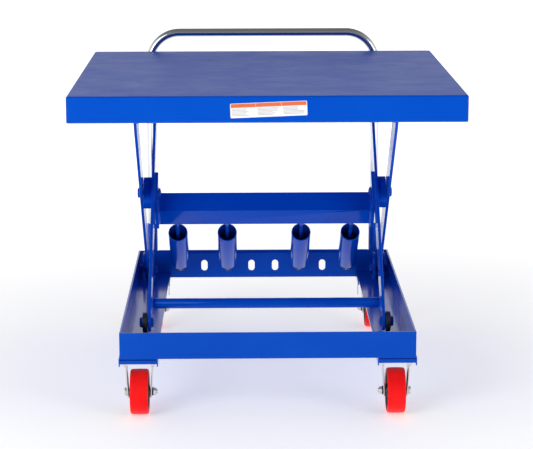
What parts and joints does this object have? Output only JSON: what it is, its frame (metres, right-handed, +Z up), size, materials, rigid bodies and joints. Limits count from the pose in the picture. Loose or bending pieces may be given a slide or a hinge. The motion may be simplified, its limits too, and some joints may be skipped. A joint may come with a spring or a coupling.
{
  "type": "scissor lift table",
  "caption": "Mobile spring-loaded scissor table: a skirted platform on a pair of scissor arms over a framed base with casters and a push handle.",
  "frame": {"origin": "on the floor, under the middle of the table's outer box", "axes": "+X to the right seen from the front, +Y towards the handle end, +Z up"},
  "size_m": [1.016, 1.0418, 0.92],
  "materials": {
    "frame_paint": "satin blue powder coat",
    "deck_paint": "smooth blue powder coat",
    "handle_chrome": "bright chrome plate",
    "zinc": "bright zinc plate",
    "wheel_iron": "black-painted casting",
    "tread_red": "smooth red polyurethane",
    "nylon": "black nylon",
    "dark_steel": "oiled dark steel",
    "decal": "printed vinyl, plain bars"
  },
  "bodies": {
    "base": {"side_rail_left": "frame_paint", "side_rail_right": "frame_paint", "front_panel": "frame_paint", "rear_panel": "frame_paint", "pivot_clevises": "frame_paint", "base_pivot_pins": "frame_paint", "caster_pads": "frame_paint", "handle_sockets": "frame_paint", "handle": "handle_chrome", "handle_bolts": "zinc", "slot_hooks": "dark_steel", "front_forks": "zinc", "front_axles": "zinc", "caster_bolts": "zinc", "swivel_plates": "zinc"},
    "wheel_fl": {"wheel_core_fl": "wheel_iron", "tread_fl": "tread_red"},
    "wheel_fr": {"wheel_core_fr": "wheel_iron", "tread_fr": "tread_red"},
    "swivel_left": {"swivel_fork_left": "zinc", "rear_axle_left": "zinc"},
    "swivel_right": {"swivel_fork_right": "zinc", "rear_axle_right": "zinc"},
    "wheel_rl": {"wheel_core_rl": "wheel_iron", "tread_rl": "tread_red"},
    "wheel_rr": {"wheel_core_rr": "wheel_iron", "tread_rr": "tread_red"},
    "brake_left": {"brake_pedal_left": "zinc"},
    "brake_right": {"brake_pedal_right": "zinc"},
    "outer_arms": {"outer_arm_left": "frame_paint", "outer_arm_right": "frame_paint", "outer_tie_bar": "frame_paint", "top_roller_bolts": "frame_paint"},
    "top_roller_l": {"top_roller_left": "nylon"},
    "top_roller_r": {"top_roller_right": "nylon"},
    "inner_arms": {"inner_arm_left": "frame_paint", "inner_arm_right": "frame_paint", "cross_tube": "frame_paint", "lever_plates": "frame_paint", "spring_beam": "frame_paint", "pivot_spacers": "frame_paint", "centre_bolts": "frame_paint", "bottom_roller_bolts": "frame_paint", "rod_pins": "zinc"},
    "bottom_roller_l": {"bottom_roller_left": "nylon"},
    "bottom_roller_r": {"bottom_roller_right": "nylon"},
    "spring_tubes": {"spring_tube_1": "frame_paint", "spring_tube_2": "frame_paint", "spring_tube_3": "frame_paint", "spring_tube_4": "frame_paint", "coil_springs": "dark_steel"},
    "rods": {"draw_rods": "frame_paint"},
    "platform": {"deck": "deck_paint", "roller_rails": "frame_paint", "deck_stiffeners": "frame_paint", "platform_clevises": "frame_paint", "platform_pivot_pins": "frame_paint", "decal_plate": "decal"}
  },
  "joints": [
    {"name": "lift", "type": "hinge", "parent": "base", "child": "outer_arms", "pos_m": [0, 0.3959, 0.1973], "axis": [1, 0, 0], "range_deg": [0, 30], "stiffness_Nm_per_rad": 2800, "springref_deg": -11.46},
    {"name": "scissor", "type": "hinge", "parent": "outer_arms", "child": "inner_arms", "pos_m": [0, 0.0739, 0.49495], "axis": [1, 0, 0], "range_deg": [-60, 0]},
    {"name": "platform_pivot", "type": "hinge", "parent": "inner_arms", "child": "platform", "pos_m": [0, 0.3959, 0.79261], "axis": [1, 0, 0], "range_deg": [0, 30]},
    {"name": "tube_tilt", "type": "hinge", "parent": "base", "child": "spring_tubes", "pos_m": [0, 0.4659, 0.188], "axis": [1, 0, 0], "range_deg": [0, 30.5]},
    {"name": "rod_swing", "type": "hinge", "parent": "inner_arms", "child": "rods", "pos_m": [0, 0.10259, 0.45066], "axis": [1, 0, 0], "range_deg": [0, 60.5]},
    {"name": "bottom_roller_left_spin", "type": "hinge", "parent": "inner_arms", "child": "bottom_roller_l", "pos_m": [-0.3305, -0.2481, 0.1973], "axis": [1, 0, 0], "continuous": true},
    {"name": "bottom_roller_right_spin", "type": "hinge", "parent": "inner_arms", "child": "bottom_roller_r", "pos_m": [0.3305, -0.2481, 0.1973], "axis": [1, 0, 0], "continuous": true},
    {"name": "top_roller_left_spin", "type": "hinge", "parent": "outer_arms", "child": "top_roller_l", "pos_m": [-0.3375, -0.2481, 0.79261], "axis": [1, 0, 0], "continuous": true},
    {"name": "top_roller_right_spin", "type": "hinge", "parent": "outer_arms", "child": "top_roller_r", "pos_m": [0.3375, -0.2481, 0.79261], "axis": [1, 0, 0], "continuous": true},
    {"name": "front_left_wheel", "type": "hinge", "parent": "base", "child": "wheel_fl", "pos_m": [-0.337, -0.4421, 0.06], "axis": [1, 0, 0], "continuous": true},
    {"name": "front_right_wheel", "type": "hinge", "parent": "base", "child": "wheel_fr", "pos_m": [0.337, -0.4421, 0.06], "axis": [1, 0, 0], "continuous": true},
    {"name": "rear_left_swivel", "type": "hinge", "parent": "base", "child": "swivel_left", "pos_m": [-0.337, 0.4209, 0.149], "axis": [0, 0, 1], "continuous": true},
    {"name": "rear_right_swivel", "type": "hinge", "parent": "base", "child": "swivel_right", "pos_m": [0.337, 0.4209, 0.149], "axis": [0, 0, 1], "continuous": true},
    {"name": "rear_left_wheel", "type": "hinge", "parent": "swivel_left", "child": "wheel_rl", "pos_m": [-0.337, 0.4529, 0.06], "axis": [1, 0, 0], "continuous": true},
    {"name": "rear_right_wheel", "type": "hinge", "parent": "swivel_right", "child": "wheel_rr", "pos_m": [0.337, 0.4529, 0.06], "axis": [1, 0, 0], "continuous": true},
    {"name": "left_brake", "type": "hinge", "parent": "swivel_left", "child": "brake_left", "pos_m": [-0.337, 0.4419, 0.137], "axis": [1, 0, 0], "range_deg": [-6, 0]},
    {"name": "right_brake", "type": "hinge", "parent": "swivel_right", "child": "brake_right", "pos_m": [0.337, 0.4419, 0.137], "axis": [1, 0, 0], "range_deg": [-6, 0]}
  ],
  "couplings": [
    {"joint": "scissor", "follows": "lift", "ratio": -2},
    {"joint": "platform_pivot", "follows": "lift", "ratio": 1},
    {"joint": "tube_tilt", "follows": "lift", "ratio": 1},
    {"joint": "rod_swing", "follows": "lift", "ratio": 2}
  ]
}
